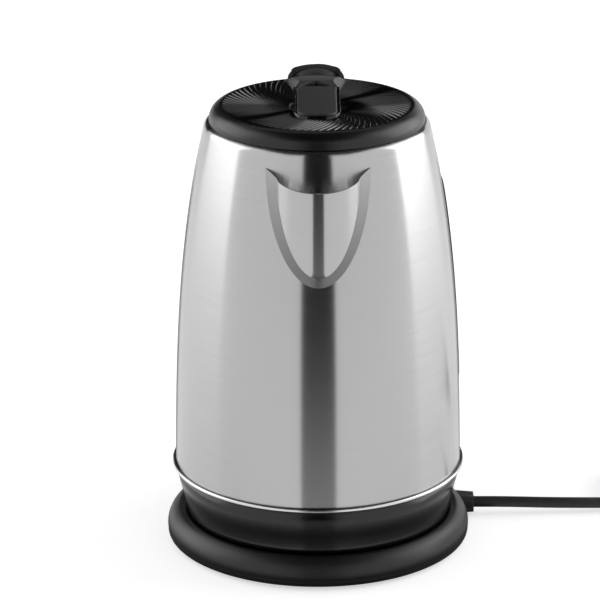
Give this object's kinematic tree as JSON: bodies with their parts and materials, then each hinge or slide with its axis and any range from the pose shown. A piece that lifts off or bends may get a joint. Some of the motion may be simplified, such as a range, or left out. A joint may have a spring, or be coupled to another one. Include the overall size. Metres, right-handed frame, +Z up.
{
  "type": "cordless electric kettle",
  "caption": "Tapered brushed steel kettle with a beak spout, hinged swirl-ribbed black lid with push button, rear loop handle, bright base ring and a round power base with lead and plug.",
  "frame": {"origin": "on the kettle's upright axis, on the table under the foot ring", "axes": "+Z up; -Y towards the spout; +Y towards the handle; +X towards the side where the lead leaves the power base"},
  "size_m": [0.3303, 0.2103, 0.2426],
  "materials": {
    "black_plastic": "satin",
    "rubber": "matte",
    "screw_steel": "zinc plated",
    "brass": "bright",
    "chrome": "polished",
    "brushed_steel": "brushed round the axis",
    "aluminium": "cast",
    "clear_window": "clear"
  },
  "bodies": {
    "base": {"base_cover": "black_plastic", "base_plate": "black_plastic", "base_foot_ring": "rubber", "base_screws": "screw_steel", "base_socket": "black_plastic", "base_contacts": "brass", "base_wiring": "rubber", "cord_gland": "rubber", "power_cord": "rubber", "power_cord_coil": "rubber", "cord_tie": "black_plastic", "plug_body": "black_plastic", "plug_pins": "brass", "plug_earth_clips": "brass"},
    "shutter": {"socket_shutter": "black_plastic"},
    "jug": {"jug_base": "black_plastic", "trim_ring": "chrome", "jug_base_screws": "screw_steel", "heating_plate": "brushed_steel", "heat_spreader": "aluminium", "heating_element": "aluminium", "control_contacts": "brass", "control_body": "black_plastic", "bimetal_discs": "brass", "control_screws": "screw_steel", "switch_pin": "screw_steel", "steel_body": "brushed_steel", "spout": "brushed_steel", "spout_strainer": "brushed_steel", "gauge_window": "clear_window", "gauge_frame": "rubber", "neck_ring": "black_plastic", "handle_shell": "black_plastic", "handle_cover": "black_plastic", "handle_screws": "screw_steel", "hinge_pin": "screw_steel"},
    "lid": {"lid_cover": "black_plastic", "lid_liner": "black_plastic", "lid_seal": "rubber", "lid_screws": "screw_steel", "button_spring": "screw_steel", "lid_spring": "screw_steel"},
    "button": {"lid_button": "black_plastic"},
    "latch": {"latch_slider": "black_plastic"},
    "lever": {"switch_lever": "black_plastic"}
  },
  "joints": [
    {"name": "jug_swivel", "type": "hinge", "parent": "base", "child": "shutter", "pos_m": [0, 0, 0.0145], "axis": [0, 0, 1], "continuous": true},
    {"name": "jug_lift", "type": "slide", "parent": "shutter", "child": "jug", "axis": [0, 0, 1], "range_m": [0, 0.08]},
    {"name": "lid_hinge", "type": "hinge", "parent": "jug", "child": "lid", "pos_m": [0, 0.0658, 0.231], "axis": [-1, 0, 0], "range_deg": [0, 75]},
    {"name": "button_press", "type": "slide", "parent": "lid", "child": "button", "axis": [0, 0, -1], "range_m": [0, 0.0025], "stiffness_N_per_m": 400, "springref_m": -0.002, "deforming": ["button_spring"]},
    {"name": "latch_slide", "type": "slide", "parent": "lid", "child": "latch", "axis": [0, 1, 0], "range_m": [0, 0.0025]},
    {"name": "switch_rock", "type": "hinge", "parent": "jug", "child": "lever", "pos_m": [0, 0.06245, 0.027], "axis": [1, 0, 0], "range_deg": [-9, 0]}
  ],
  "couplings": [
    {"joint": "latch_slide", "follows": "button_press", "ratio": 1}
  ]
}
